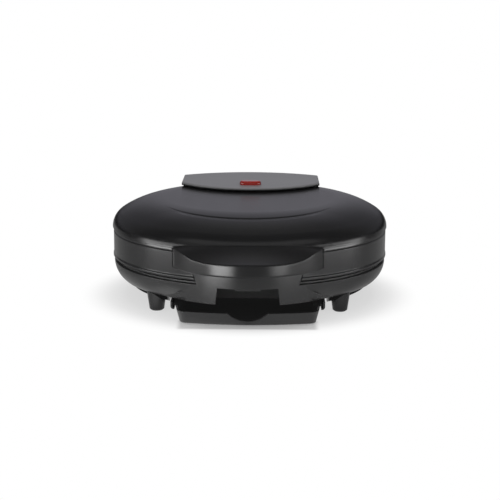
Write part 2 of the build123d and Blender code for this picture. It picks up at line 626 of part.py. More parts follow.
def heating_element():
    """Horseshoe of flattened heating tube, open to the rear, with its terminal legs."""
    top = PLATE_UNDER - SNUG
    middle = top - ELEMENT_THICK / 2
    section = Plane.XZ * Pos(ELEMENT_RING, middle) * Rectangle(ELEMENT_WIDTH, ELEMENT_THICK)
    tube = Rot(0, 0, 90 + ELEMENT_GAP_ANGLE / 2) * revolve(section, Axis.Z, 360 - ELEMENT_GAP_ANGLE)
    for x, y in leg_places():
        tube += rod_z(x, y, top - ELEMENT_THICK - ELEMENT_LEG, middle, LEG_RADIUS)
    return tube


def heat_shield():
    """Flat sheet under the heating element."""
    sheet = rod_z(0, 0, SHIELD_Z, SHIELD_Z + SHIELD_SHEET, SHIELD_RADIUS)
    for x, y in post_places():
        sheet -= rod_z(x, y, 0, CREASE, SCREW_RADIUS + HEAD_ROOM)
    for x, y in leg_places():
        sheet -= rod_z(x, y, 0, CREASE, LEG_RADIUS + SHIELD_HOLE_ROOM)
    return sheet - rod_z(0, THERMOSTAT_Y, 0, CREASE, THERMOSTAT_RADIUS + SHIELD_HOLE_ROOM)


def base_housing():
    """Moulded bowl with the front tab, drip notch, tray channel and rear knuckles."""
    apron_y = APRON_RADIUS - APRON_FRONT
    bulge = Pos(0, apron_y) * Circle(APRON_RADIUS)
    front = slab(-BASE_RADIUS, BASE_RADIUS, -APRON_FRONT - 1, APRON_BACK - BASE_RADIUS, 0, TAB_TOP)
    body = bowl(0, BASE_TOP)
    form = body + (Pos(0, 0, CHANNEL_ROOF) * extrude(bulge, BASE_TOP - CHANNEL_ROOF) & front)
    form += cheeks()
    form += rod_y(0, BOWL_FLAT_RADIUS, GLAND_FACE, GLAND_Z, GLAND_FLANGE + GLAND_SEAT)
    shell = form - bowl_hollow(BASE_TOP - LEDGE_THICK) - rod_z(0, 0, FLOOR_Z + WALL, BASE_TOP, LEDGE_INNER)
    shell += channel_box() & body
    wall_top = PLATE_UNDER - DRIP_WALL_GAP
    pocket = NOTCH_HALF_WIDTH + NOTCH_FLARE + CHANNEL_WALL
    drip = slab(-pocket, pocket, -BASE_RADIUS, -DRIP_BACK + CHANNEL_WALL, CHANNEL_ROOF, wall_top)
    drip -= slab(-pocket + CHANNEL_WALL, pocket - CHANNEL_WALL, -BASE_RADIUS, -DRIP_BACK, 0, BASE_TOP)
    shell += drip & bowl(-WALL / 2, BASE_TOP)
    for x, y in post_places():
        shell += rod_z(x, y, FLOOR_Z + WALL / 2, SHIELD_Z - SNUG, POST_RADIUS)
    shell -= slab(-CHANNEL_HALF, CHANNEL_HALF, -APRON_FRONT - 1, -CHANNEL_BACK, 0, CHANNEL_ROOF)
    wide = NOTCH_HALF_WIDTH + NOTCH_FLARE
    notch = Polyline((-wide, 0), (wide, 0), (wide, CHANNEL_ROOF), (NOTCH_HALF_WIDTH, NOTCH_TOP),
                     (-NOTCH_HALF_WIDTH, NOTCH_TOP), (-wide, CHANNEL_ROOF), close=True)
    window = extrude(Plane.XZ * make_face(notch), APRON_FRONT + 1)
    shell -= window & slab(-wide, wide, -APRON_FRONT - 1, -DRIP_BACK, 0, BASE_TOP)
    shell += front_tab(bulge)
    for x, y in post_places():
        shell -= rod_z(x, y, 0, BASE_TOP, SCREW_RADIUS + SCREW_ROOM)
        shell -= rod_z(x, y, 0, FLOOR_Z + SCREW_HEAD + HEAD_ROOM, SCREW_HEAD_RADIUS + HEAD_ROOM)
    shell -= rod_x(-CHEEK_OUTER - 1, CHEEK_OUTER + 1, HINGE_Y, HINGE_Z, PIN_RADIUS + PIN_HOLD)
    return shell - rod_y(0, BOWL_FLAT_RADIUS - WALL, GLAND_FACE + 1, GLAND_Z, GLAND_RADIUS + SNUG)


def channel_box():
    """Walls and roof of the tray channel, before it is hollowed."""
    half = CHANNEL_HALF + CHANNEL_WALL
    return slab(-half, half, -APRON_FRONT, -CHANNEL_BACK + CHANNEL_WALL, FLOOR_Z, CHANNEL_ROOF + CHANNEL_WALL)


def front_tab(bulge):
    """Upright tab at the front of the base, tapered towards the seam."""
    apron_y = APRON_RADIUS - APRON_FRONT
    ring = bulge - Pos(0, apron_y) * Circle(APRON_RADIUS - TAB_WALL)
    foot = TAB_HALF_WIDTH - TAB_TAPER
    start = BASE_TOP - NOTCH_DROP / 2
    shape = Polyline((-foot, start), (foot, start), (foot, BASE_TOP), (TAB_HALF_WIDTH, TAB_TOP),
                     (-TAB_HALF_WIDTH, TAB_TOP), (-foot, BASE_TOP), close=True)
    front = extrude(Plane.XZ * make_face(shape), APRON_FRONT + 1)
    return Pos(0, 0, start) * extrude(ring, TAB_TOP - start) & front


def cheeks():
    """The two fixed knuckles behind the base, each with a stop rib for the open lid."""
    r = KNUCKLE_RADIUS
    low = BASE_TOP - CHEEK_FOOT
    side = Polyline((HINGE_Y - r, HINGE_Z), (HINGE_Y - r, BASE_TOP), (CHEEK_ROOT, BASE_TOP),
                    (CHEEK_ROOT, low), (HINGE_Y - r, low), (HINGE_Y + r, BASE_TOP), (HINGE_Y + r, HINGE_Z),
                    close=True)
    lean = math.tan(math.radians(OPEN_ANGLE - 90)) * (STOP_LOW - STOP_HIGH)
    rib = Polyline((HINGE_Y, HINGE_Z - STOP_LOW), (HINGE_Y + STOP_REACH - lean, HINGE_Z - STOP_LOW),
                   (HINGE_Y + STOP_REACH, HINGE_Z - STOP_HIGH), (HINGE_Y, HINGE_Z - STOP_HIGH), close=True)
    outline = make_face(side) + Pos(HINGE_Y, HINGE_Z) * Circle(r) + make_face(rib)
    cheek = Pos(CHEEK_INNER, 0, 0) * extrude(Plane.YZ * outline, KNUCKLE_WIDTH)
    return cheek + mirror(cheek, Plane.YZ)


def hinge_arm(side):
    """Lid arm: a knuckle on the pin, a neck through the band and an upright leg."""
    r = KNUCKLE_RADIUS
    low = HINGE_Z - ARM_NECK_DROP
    neck = Polyline((HINGE_Y, low), (ARM_FRONT, low), (ARM_FRONT, CREASE), (ARM_BACK, CREASE),
                    (ARM_BACK, HINGE_Z + r), (HINGE_Y, HINGE_Z + r), close=True)
    outline = make_face(neck) + Pos(HINGE_Y, HINGE_Z) * Circle(r)
    arm = Pos(ARM_INNER, 0, 0) * extrude(Plane.YZ * outline, KNUCKLE_WIDTH)
    arm -= rod_x(0, CHEEK_OUTER, HINGE_Y, HINGE_Z, PIN_RADIUS + PIN_RUN)
    x, y = list(arm_places())[1]
    arm -= rod_z(x, y, 0, CREASE + 1, SCREW_RADIUS + SCREW_ROOM)
    arm -= rod_z(x, y, 0, low + SCREW_HEAD + HEAD_ROOM, SCREW_HEAD_RADIUS + HEAD_ROOM)
    return arm if side > 0 else mirror(arm, Plane.YZ)


def hinge_pin():
    """Pin through all four knuckles, headed at one end."""
    groove_end = -CHEEK_OUTER - SNUG
    pin = rod_x(groove_end - PIN_GROOVE - PIN_TAIL, CHEEK_OUTER, HINGE_Y, HINGE_Z, PIN_RADIUS)
    pin += rod_x(CHEEK_OUTER, CHEEK_OUTER + PIN_HEAD, HINGE_Y, HINGE_Z, PIN_HEAD_RADIUS)
    return pin - pin_ring(groove_end - PIN_GROOVE, groove_end, PIN_RADIUS - PIN_GROOVE_DEPTH)


def pin_ring(x0, x1, inner):
    """A flat ring round the pin's axis."""
    ring = rod_x(x0, x1, HINGE_Y, HINGE_Z, PIN_HEAD_RADIUS)
    return ring - rod_x(x0 - 1, x1 + 1, HINGE_Y, HINGE_Z, inner)


def pin_clip():
    """Retaining ring in the groove of the pin, open below."""
    x1 = -CHEEK_OUTER - 2 * SNUG
    ring = pin_ring(x1 - CLIP_THICK, x1, PIN_RADIUS - PIN_GROOVE_DEPTH + SNUG)
    return ring - slab(x1 - CLIP_THICK - 1, x1 + 1, HINGE_Y - CLIP_MOUTH / 2, HINGE_Y + CLIP_MOUTH / 2,
                       HINGE_Z - KNUCKLE_RADIUS, HINGE_Z)


def cover_outline(inset):
    """Plan of the rear cover: straight sides, swept front, round rear left open."""
    half = COVER_HALF_WIDTH - inset
    radius = (COVER_HALF_WIDTH ** 2 + COVER_SWEEP ** 2) / (2 * COVER_SWEEP)
    disc = Pos(0, COVER_FRONT + radius) * Circle(radius - inset)
    back = Pos(0, COVER_FRONT + COVER_SWEEP + BAND_RADIUS / 2) * Rectangle(2 * half, BAND_RADIUS)
    front = Pos(0, COVER_FRONT + COVER_SWEEP - BAND_RADIUS / 2) * Rectangle(2 * half, BAND_RADIUS)
    return back + (disc & front)


def cover_form(inset, foot, sink):
    """Solid of the cover, its top lowered by sink; smaller by inset, its rear bend is a plain slope."""
    bend = (COVER_BACK_RADIUS - inset, COVER_TOP - COVER_BEND)
    top = (COVER_TOP_RADIUS - inset, COVER_TOP - sink)
    side = Line(bend, top) if inset else TangentArc(bend, top, tangent=(0, 1))
    rest = path(top, (0, top[1]), (0, foot), (bend[0], foot), bend)
    return turned(side + rest) & extrude(cover_outline(inset), DOME_TOP * 2)


def hinge_cover():
    """Raised cover over the rear of the lid, standing on a recessed skirt."""
    foot = LID_BOTTOM + COVER_FOOT
    body = cover_form(0, foot, 0)
    rear = COVER_TOP_RADIUS - COVER_SHOULDER
    rim = [e for e in body.edges() if e.center().Z > DOME_TOP and e.center().Y < rear]
    body = fillet(rim, COVER_ROUND)
    hollow = cover_form(WALL, foot - 1, WALL)
    skirt = cover_form(SHADOW_INSET, foot, SHADOW_GAP) - cover_form(SHADOW_INSET + WALL, foot - 1, WALL)
    shell = body - hollow - lid_envelope(SHADOW_GAP)
    shell += skirt
    shell -= lid_envelope(SEAT)
    return shell - lens_form(SNUG, DOME_TOP)


def lens_form(grow, z0):
    """Upright pill outline of the indicator, larger by grow, from z0 up."""
    half = LENS_HALF_LENGTH + grow
    width = LENS_HALF_WIDTH + grow
    pill = SlotOverall(2 * half, 2 * width)
    top = COVER_TOP + LENS_HEIGHT
    return Pos(0, LENS_Y, z0) * extrude(pill, top - z0)


def indicator_lens():
    """Rounded pill lens set in the cover."""
    lens = lens_form(0, DOME_TOP + SEAT)
    return fillet(lens.faces().sort_by(Axis.Z)[-1].edges(), LENS_ROUND)


def indicator_lamp():
    """Small lamp in its holder under the lens."""
    top = dome_height(LENS_Y)
    glass = rod_z(0, LENS_Y, top - LAMP_LENGTH + 1, top, LAMP_RADIUS)
    return chamfer(glass.edges().sort_by(Axis.Z)[-1], LAMP_RADIUS / 2)


def drip_tray():
    """Pull-out tray: drafted walls, side flanges and a finger dip in its bowed front."""
    shell = tray_form(0) - tray_form(TRAY_WALL)
    front = -TRAY_NOSE - 1
    shell -= slab(-TRAY_HALF_WIDTH - 1, TRAY_HALF_WIDTH + 1, front, -TRAY_FRONT + TRAY_CORNER,
                  TRAY_FRONT_TOP, TRAY_TOP + 1)
    for side in (-1, 1):
        inner = TRAY_HALF_WIDTH - TRAY_WALL / 2
        x0, x1 = sorted((side * inner, side * FLANGE_OUT))
        shell += slab(x0, x1, -TRAY_FRONT + TRAY_FLANGE_SETBACK, -TRAY_BACK - TRAY_CORNER, FLANGE_Z, TRAY_TOP)
    radius = (FINGER_HALF_WIDTH ** 2 + FINGER_DEPTH ** 2) / (2 * FINGER_DEPTH)
    centre = TRAY_FRONT_TOP - FINGER_DEPTH + radius
    wall_y = -TRAY_NOSE + TRAY_DRAFT
    lip = rod_y(0, -TRAY_NOSE - FINGER_LIP / 2, wall_y + 1, centre, radius + FINGER_LIP)
    lip &= slab(-TRAY_HALF_WIDTH, TRAY_HALF_WIDTH, front, 0, 0, TRAY_FRONT_TOP + FINGER_LIP / 2)
    shell += lip
    return shell - rod_y(0, front - 1, wall_y + TRAY_CORNER, centre, radius)


def tray_form(inset):
    """Drafted block of the tray with a bowed front, smaller by inset and open above if inset."""
    height = TRAY_SIDE_HEIGHT - inset + (1 if inset else 0)
    lean = TRAY_DRAFT * (TRAY_SIDE_HEIGHT - inset) / TRAY_SIDE_HEIGHT + inset
    half = TRAY_HALF_WIDTH - lean
    sides = make_face(Polyline((-half, -TRAY_NOSE - 1), (half, -TRAY_NOSE - 1), (half, -TRAY_BACK - lean),
                               (-half, -TRAY_BACK - lean), close=True))
    outline = sides & Pos(0, TRAY_BOW_RADIUS - TRAY_NOSE) * Circle(TRAY_BOW_RADIUS - lean)
    outline = fillet(outline.vertices(), TRAY_CORNER - inset)
    draft = math.degrees(math.atan(TRAY_DRAFT / TRAY_SIDE_HEIGHT))
    return extrude(Pos(0, 0, TRAY_LIFT + inset) * outline, height, taper=-draft)


def tray_runner(side):
    """C-shaped rail under the channel's roof that carries one flange of the tray."""
    inner = FLANGE_OUT + RUN_GAP
    low = LEDGE_TOP - RUNNER_LEDGE
    edge = TRAY_HALF_WIDTH + RUNNER_LEDGE_GAP
    outline = Polyline((edge, low), (RUNNER_OUT, low), (RUNNER_OUT, CHANNEL_ROOF), (inner, CHANNEL_ROOF),
                       (inner, LEDGE_TOP), (edge, LEDGE_TOP), close=True)
    section = make_face(outline)
    corner = section.vertices().sort_by(Axis.X)[-2:].sort_by(Axis.Y)[0]
    section = fillet(corner, RUNNER_ROUND)
    start = Plane.XZ.offset(TRAY_BACK)
    rail = extrude(start * section, BASE_RADIUS - RUNNER_FRONT_INSET - TRAY_BACK)
    return rail if side > 0 else mirror(rail, Plane.YZ)


def feet():
    """Four tapered feet, fitted to the round of the base."""
    grow = (FOOT_TOP_RADIUS - FOOT_RADIUS) / FLOOR_Z
    peg = Pos(0, 0, BASE_TOP / 2) * Cone(FOOT_RADIUS, FOOT_RADIUS + grow * BASE_TOP, BASE_TOP)
    peg = chamfer(peg.faces().sort_by(Axis.Z)[0].edges(), FOOT_EDGE)
    around = bowl(SNUG, BASE_TOP + 1)
    return [Pos(x, y, 0) * peg - around for x, y in four_places(FOOT_CIRCLE, FOOT_ANGLE)]


def cord_gland():
    """Flanged bush where the mains lead would enter."""
    bush = rod_y(0, GLAND_FACE - GLAND_LENGTH, GLAND_FACE, GLAND_Z, GLAND_RADIUS)
    bush += rod_y(0, GLAND_FACE, GLAND_FACE + GLAND_FLANGE_THICK, GLAND_Z, GLAND_FLANGE)
    return bush - rod_y(0, 0, HINGE_Y, GLAND_Z, GLAND_BORE)


def thermostat():
    """Disc thermostat held against the lower plate, with two blade terminals."""
    top = PLATE_UNDER - SNUG
    body = rod_z(0, THERMOSTAT_Y, top - THERMOSTAT_HEIGHT, top, THERMOSTAT_RADIUS)
    for side in (-1, 1):
        blade = Box(BLADE_THICK, BLADE_WIDTH, 2 * BLADE_LENGTH)
        body += Pos(side * THERMOSTAT_RADIUS / 2, THERMOSTAT_Y, top - THERMOSTAT_HEIGHT) * blade
    return body


def thermal_fuse():
    """Cartridge fuse lying against the lower plate."""
    level = PLATE_UNDER - SNUG - FUSE_RADIUS
    half = FUSE_LENGTH / 2
    body = rod_x(FUSE_X - half, FUSE_X + half, THERMOSTAT_Y, level, FUSE_RADIUS)
    reach = half + FUSE_LEAD
    return body + rod_x(FUSE_X - reach, FUSE_X + reach, THERMOSTAT_Y, level, FUSE_LEAD_RADIUS)


def terminal_block():
    """Two-way terminal block on the floor of the base."""
    middle = FLOOR_Z + WALL + TERMINAL_HEIGHT / 2
    block = Pos(0, TERMINAL_Y, middle) * Box(TERMINAL_LENGTH, TERMINAL_WIDTH, TERMINAL_HEIGHT)
    ends = (TERMINAL_Y - TERMINAL_WIDTH, TERMINAL_Y + TERMINAL_WIDTH)
    for side in (-1, 1):
        block -= rod_y(side * TERMINAL_LENGTH / 4, *ends, middle, TERMINAL_HOLE)
    return block


def plate_screws():
    """Four screws from under the base into the lower plate."""
    seat = FLOOR_Z + SCREW_HEAD + HEAD_ROOM
    return [screw(x, y, seat, PLATE_UNDER) for x, y in post_places()]


def upper_plate_screws():
    """Four flat-head screws up through the upper plate's rim."""
    face = 2 * MIRROR_Z - LOWER_RIM_Z - PLATE_FLANGE
    screws = []
    for x, y in rim_places():
        head = Pos(x, y, face + FLAT_HEAD / 2) * Cone(FLAT_HEAD_RADIUS, SCREW_RADIUS, FLAT_HEAD)
        head -= Pos(x, y, face) * Box(2 * FLAT_HEAD_RADIUS, FLAT_SLOT, FLAT_SLOT)
        screws.append(head + rod_z(x, y, face + FLAT_SLOT, face + PLATE_FLANGE + SCREW_GRIP, SCREW_RADIUS))
    return screws


def upper_shield_screws():
    """Four screws that hold the upper heat shield on the upper plate's posts."""
    seat = 2 * MIRROR_Z - SHIELD_Z
    return [screw(x, y, seat, 2 * MIRROR_Z - PLATE_UNDER) for x, y in post_places()]


def arm_screws():
    """One screw up through each lid arm."""
    seat = HINGE_Z - ARM_NECK_DROP + SCREW_HEAD + HEAD_ROOM
    return [screw(x, y, seat, CREASE + SCREW_GRIP) for x, y in arm_places()]


def handle_screws():
    """Two screws through the handle's underside."""
    seat = HANDLE_BOTTOM + HANDLE_PANEL_INSET + SCREW_HEAD + HEAD_ROOM
    return [screw(x, y, seat, HANDLE_PANEL_TOP + HANDLE_SCREW_GRIP) for x, y in handle_screw_places()]


def save(name, shape):
    """Write one sub-part, moved to the whole object's frame."""
    solids = shape if isinstance(shape, list) else [shape]
    placed = [Pos(0, CENTRE_Y, 0) * solid for solid in solids]
    whole = placed[0] if len(placed) == 1 else Compound(children=placed)
    export_step(whole, os.path.join("parts", name + ".step"))


def main():
    os.makedirs("parts", exist_ok=True)
    save("base_housing", base_housing())
    save("lower_cooking_plate", grill_plate(LOWER_RIM_RADIUS, True))
    save("lower_heating_element", heating_element())
    save("lower_heat_shield", heat_shield())
    save("thermostat", thermostat())
    save("thermal_fuse", thermal_fuse())
    save("terminal_block", terminal_block())
    save("cord_gland", cord_gland())
    save("lower_plate_screws", plate_screws())
    save("feet", feet())
    save("tray_runner_left", tray_runner(-1))
    save("tray_runner_right", tray_runner(1))
    save("hinge_pin", hinge_pin())
    save("hinge_pin_clip", pin_clip())
    save("drip_tray", drip_tray())
    save("lid_top", lid_top())
    save("lid_band", lid_band())
    save("handle_underside", handle_underside())
    save("handle_screws", handle_screws())
    save("upper_cooking_plate", upper_plate())
    save("upper_plate_screws", upper_plate_screws())
    save("upper_heating_element", flip(heating_element()))
    save("upper_heat_shield", flip(heat_shield()))
    save("upper_shield_screws", upper_shield_screws())
    save("hinge_arm_left", hinge_arm(-1))
    save("hinge_arm_right", hinge_arm(1))
    save("hinge_arm_screws", arm_screws())
    save("hinge_cover", hinge_cover())
    save("indicator_lens", indicator_lens())
    save("indicator_lamp", indicator_lamp())


if __name__ == "__main__":
    main()
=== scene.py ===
"""Finishes, light and camera for a round electric contact grill.

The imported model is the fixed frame, in metres, +Z up, with its front towards -Y.
"""

import math

import bpy
from mathutils import Matrix, Vector


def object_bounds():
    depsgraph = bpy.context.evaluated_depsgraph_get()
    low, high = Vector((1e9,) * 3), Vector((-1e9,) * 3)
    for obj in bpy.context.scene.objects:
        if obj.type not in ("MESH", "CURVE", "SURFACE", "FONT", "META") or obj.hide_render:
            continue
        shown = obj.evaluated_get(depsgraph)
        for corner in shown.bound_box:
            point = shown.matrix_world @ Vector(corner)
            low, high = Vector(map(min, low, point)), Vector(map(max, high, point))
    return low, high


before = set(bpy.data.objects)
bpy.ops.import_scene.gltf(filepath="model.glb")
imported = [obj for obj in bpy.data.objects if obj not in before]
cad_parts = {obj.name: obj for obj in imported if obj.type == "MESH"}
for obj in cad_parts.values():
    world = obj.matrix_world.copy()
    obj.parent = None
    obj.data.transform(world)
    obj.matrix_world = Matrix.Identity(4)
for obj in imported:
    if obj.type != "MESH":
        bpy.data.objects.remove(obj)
CAD_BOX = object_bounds()

bl_info = {
    "name": "Round contact grill",
    "version": (1, 0, 0),
    "blender": (4, 5, 0),
    "location": "3D View > Sidebar > Grill",
    "description": "Finishes the lid, base, tray and plates of a round contact grill and lights it",
    "category": "Object",
}

# Places and sizes on the grill, in metres
AXIS_Y = 0.00595                   # upright axis of the round lid
SKIRT = (0.0650, 0.0619, 0.0586)   # top of the dome's foot, its widest line and its lower edge
SKIRT_REACH = (0.1245, 0.1238)     # the foot's relief fades in from the first radius inwards
LIP_MIDDLE = -0.01225              # middle of the arc that the groove follows
LIP_RADIUS = 0.0786                # the groove's rounded lip starts at this radius
LIP_CREST = 0.003                  # from there to its highest line
LIP_END = 0.036                    # from there to where it has run out
LIP_FADE = (-0.058, -0.084)        # none of it at the first Y, all of it at the second
COVER_RIM = 0.0016                 # rim of the rear cover above its wall, which is painted dark as shade
DRIP_POCKET = ((-0.029, -0.113, 0.0155), (0.029, -0.085, 0.0325))   # pocket behind the notch, painted dark as shade
POCKET_EDGE = 0.0008               # half of the soft edge of a box painted dark as shade
TRAY_CONTACT = ((-0.057, -0.128, -1.0), (0.057, -0.100, 1.0))       # table at the tray's front
CONTACT_EDGE = 0.003               # half of its soft edge
HANDLE_FOOT = 0.12                 # from the origin forward to the foot of the handle

# Relief of the lid, in millimetres
LIP_HEIGHT = 0.8                   # the groove's lip at its crest
SKIRT_RISE = 0.31                  # the foot above its widest line
SKIRT_FALL = (1.98, 0.30)          # slope and bend of the foot below its widest line
MILLIMETRE = 0.001

# Optics
PLASTIC_IOR = 1.49
CLEAR_IOR = 1.5
PAINTED_GLOW = 0.005                       # painted light: weak even glow that lifts the blacks of the base and the tray
# Painted light: the red lens glows faintly, though the lamp under it gives no light.
LENS_PAINTED_GLOW = 0.012

# Stage
TABLE = ((-1.4, -0.75, 0.0), (1.4, -0.75, 0.0), (1.4, 2.6, 0.0), (-1.4, 2.6, 0.0))
TABLE_SHADE = 0.92
SHELL_RADIUS = 3.4                 # studio shell round the table
SHELL_SEGMENTS = 48
SHELL_RINGS = 32
REAR_GLOW = ((0.0, 0.03), (0.45, 0.03), (0.53, 0.09), (0.605, 0.13), (0.70, 0.30), (0.82, 0.36),
             (0.94, 0.31), (1.0, 0.30))   # glow of the shell from its front to its rear
AIM_HEIGHT = 0.0375                # height that the camera looks at, in metres
SENSOR_WIDTH = 36.0                # in millimetres
LAMP_AIM = (0.0, 0.0, 0.05)

# Each lamp's name, place, aim, width and height, power setting and share of that power
LAMPS = (
    ("top_lamp", (0.0, 0.30, 1.35), LAMP_AIM, (1.3, 1.0), "top_power", 1.0),
    ("left_fill", (-1.1, -0.7, 0.55), LAMP_AIM, (0.6, 0.8), "top_power", 0.18),
    ("right_fill", (1.1, -0.7, 0.55), LAMP_AIM, (0.6, 0.8), "top_power", 0.13),
    ("front_fill", (0.0, -1.5, 0.22), (0.0, -0.1, 0.02), (0.9, 0.3), "front_power", 1.0),
)


# Shader building

class Signal:
    """A socket that takes part in plain arithmetic."""

    def __init__(self, graph, socket):
        self.graph = graph
        self.socket = socket

    def __add__(self, other):
        return self.graph.maths("ADD", self, other)

    def __radd__(self, other):
        return self.graph.maths("ADD", other, self)

    def __sub__(self, other):
        return self.graph.maths("SUBTRACT", self, other)

    def __rsub__(self, other):
        return self.graph.maths("SUBTRACT", other, self)

    def __mul__(self, other):
        return self.graph.maths("MULTIPLY", self, other)

    def __rmul__(self, other):
        return self.graph.maths("MULTIPLY", other, self)

    def __truediv__(self, other):
        return self.graph.maths("DIVIDE", self, other)

    def __pow__(self, other):
        return self.graph.maths("POWER", self, other)

    def __abs__(self):
        return self.graph.maths("ABSOLUTE", self)


class Graph:
    """The nodes of one material or of the world."""

    def __init__(self, tree):
        tree.nodes.clear()
        self.tree = tree

    def add(self, kind, settings=None, inputs=None, output=0):
        """Make a node, set it up, fill its sockets with numbers or links, and give one output."""
        node = self.tree.nodes.new(kind)
        for name, value in (settings or {}).items():
            if name == "stops":
                ramp = node.color_ramp.elements
                while len(ramp) < len(value):
                    ramp.new(0.5)
                for stop, (place, shade) in zip(ramp, value):
                    stop.position = place
                    stop.color = (shade, shade, shade, 1.0)
            else:
                setattr(node, name, value)
        for name, value in (inputs or {}).items():
            if isinstance(value, Signal):
                self.tree.links.new(value.socket, node.inputs[name])
            else:
                node.inputs[name].default_value = value
        return Signal(self, node.outputs[output]) if len(node.outputs) else None

    def maths(self, operation, *values):
        """One Math node on numbers or signals."""
        return self.add("ShaderNodeMath", {"operation": operation}, dict(enumerate(values)))

    def place(self):
        """Position on the piece, in metres."""
        return self.add("ShaderNodeTexCoord", output="Object")

    def stretched(self, x, y, z):
        """Position with each axis scaled."""
        inputs = {"Vector": self.place(), "Scale": (x, y, z)}
        return self.add("ShaderNodeMapping", {}, inputs)

    def noise(self, scale, detail=2.0, rough=0.5, at=None):
        """Cloudy noise, about 0 to 1."""
        at = at or self.place()
        inputs = {"Vector": at, "Scale": scale, "Detail": detail, "Roughness": rough}
        return self.add("ShaderNodeTexNoise", {}, inputs, "Fac")

    def cells(self, scale):
        """Distance to the nearest of scattered points."""
        inputs = {"Vector": self.place(), "Scale": scale}
        return self.add("ShaderNodeTexVoronoi", {}, inputs, "Distance")

    def axis(self, name):
        """One coordinate of the position on the piece."""
        return self.add("ShaderNodeSeparateXYZ", {}, {"Vector": self.place()}, name)

    def rise(self, value, start, end, kind="SMOOTHSTEP"):
        """0 before start, 1 beyond end, and a smooth or plain step between them."""
        inputs = {"Value": value, "From Min": start, "From Max": end}
        return self.add("ShaderNodeMapRange", {"interpolation_type": kind}, inputs)

    def blend(self, share, low, high):
        """A colour between two; a Mix node's colour sockets are numbers 6 and 7."""
        settings = {"data_type": "RGBA", "clamp_factor": True}
        return self.add("ShaderNodeMix", settings, {0: share, 6: low, 7: high}, 2)

    def bumped(self, height, strength, depth, under):
        """The normal under it, bumped by a height; depth is in metres."""
        inputs = {"Height": height, "Strength": strength, "Distance": depth, "Normal": under}
        return self.add("ShaderNodeBump", {}, inputs)

    def eased(self, radius):
        """A normal that rounds sharp edges by eye."""
        return self.add("ShaderNodeBevel", {"samples": 8}, {"Radius": radius})

    def ray(self, kind):
        """1 on one kind of ray and 0 on the others."""
        return self.add("ShaderNodeLightPath", output=f"Is {kind} Ray")

    def mixed(self, share, first, second):
        """Two shaders, the second by its share."""
        return self.add("ShaderNodeMixShader", {}, {0: share, 1: first, 2: second})

    def emission(self, colour, strength):
        """A surface that only glows."""
        return self.add("ShaderNodeEmission", {}, {"Color": colour, "Strength": strength})

    def background(self, colour, strength):
        """Light from all round."""
        return self.add("ShaderNodeBackground", {}, {"Color": colour, "Strength": strength})

    def finish(self, surface):
        """Wire the surface to the material's output."""
        self.add("ShaderNodeOutputMaterial", {}, {"Surface": surface})

    def principled(self, inputs):
        """Finish the material as one Principled surface."""
        self.finish(self.add("ShaderNodeBsdfPrincipled", {}, inputs))


def new_material(name):
    """An empty node material and its graph."""
    material = bpy.data.materials.new(name)
    material.use_nodes = True
    return material, Graph(material.node_tree)


def grey(value, blue=1.0):
    """A neutral colour, a touch cooler where blue is above 1."""
    return (value, value, value * blue, 1.0)


def inside(g, low, high, soft):
    """1 within a box and 0 outside it."""
    share = 1.0
    for name, a, b in zip("XYZ", low, high):
        at = g.axis(name)
        share = g.rise(at, a - soft, a + soft) * g.rise(at, b + soft, b - soft) * share
    return share


def sector(g, value, start, end, soft):
    """1 between two values and 0 outside them, with soft edges."""
    return g.rise(value, start - soft, start + soft) * g.rise(value, end + soft, end - soft)


def bearing(g, x, forward):
    """Angle to the right of straight ahead, in degrees."""
    return g.maths("ARCTAN2", x, forward) * (180.0 / math.pi)


# Materials

def dome_relief(g):
    """Height of the groove's rounded lip and of the dome's upright foot, in millimetres."""
    x = g.axis("X")
    y = g.axis("Y")
    arc = (x ** 2.0 + (y - LIP_MIDDLE) ** 2.0) ** 0.5
    crest = LIP_RADIUS + LIP_CREST
    lip = g.rise(arc, LIP_RADIUS, crest) * g.rise(arc, LIP_RADIUS + LIP_END, crest)
    lip = lip * g.rise(y, *LIP_FADE)
    top, widest, edge = SKIRT
    above = g.rise(g.axis("Z"), top, widest, "LINEAR")
    below = g.rise(g.axis("Z"), widest, edge, "LINEAR")
    slope, bend = SKIRT_FALL
    foot = above * above * SKIRT_RISE + below * slope - below * below * bend
    out = (x ** 2.0 + (y - AXIS_Y) ** 2.0) ** 0.5
    return lip * LIP_HEIGHT + foot * g.rise(out, *SKIRT_REACH)


def polished(name, shade, gloss, edge, domed=False):
    """Polished moulded plastic: faint haze, wiping marks and a trace of orange peel."""
    material, g = new_material(name)
    haze = g.noise(14.0, 3.0)
    wiped = g.noise(60.0, 2.0, 0.6, g.stretched(1.0, 0.12, 1.0))
    peel = g.noise(420.0, 1.0)
    normal = g.bumped(peel, 0.12, 0.00004, g.eased(edge))
    if domed:
        normal = g.bumped(dome_relief(g), 1.0, MILLIMETRE, normal)
    g.principled({
        "Base Color": g.blend(haze, grey(shade * 0.85, 1.04), grey(shade * 1.15, 1.04)),
        "Roughness": gloss + haze * 0.05 + wiped * 0.04,
        "IOR": PLASTIC_IOR,
        "Normal": normal,
    })
    return material


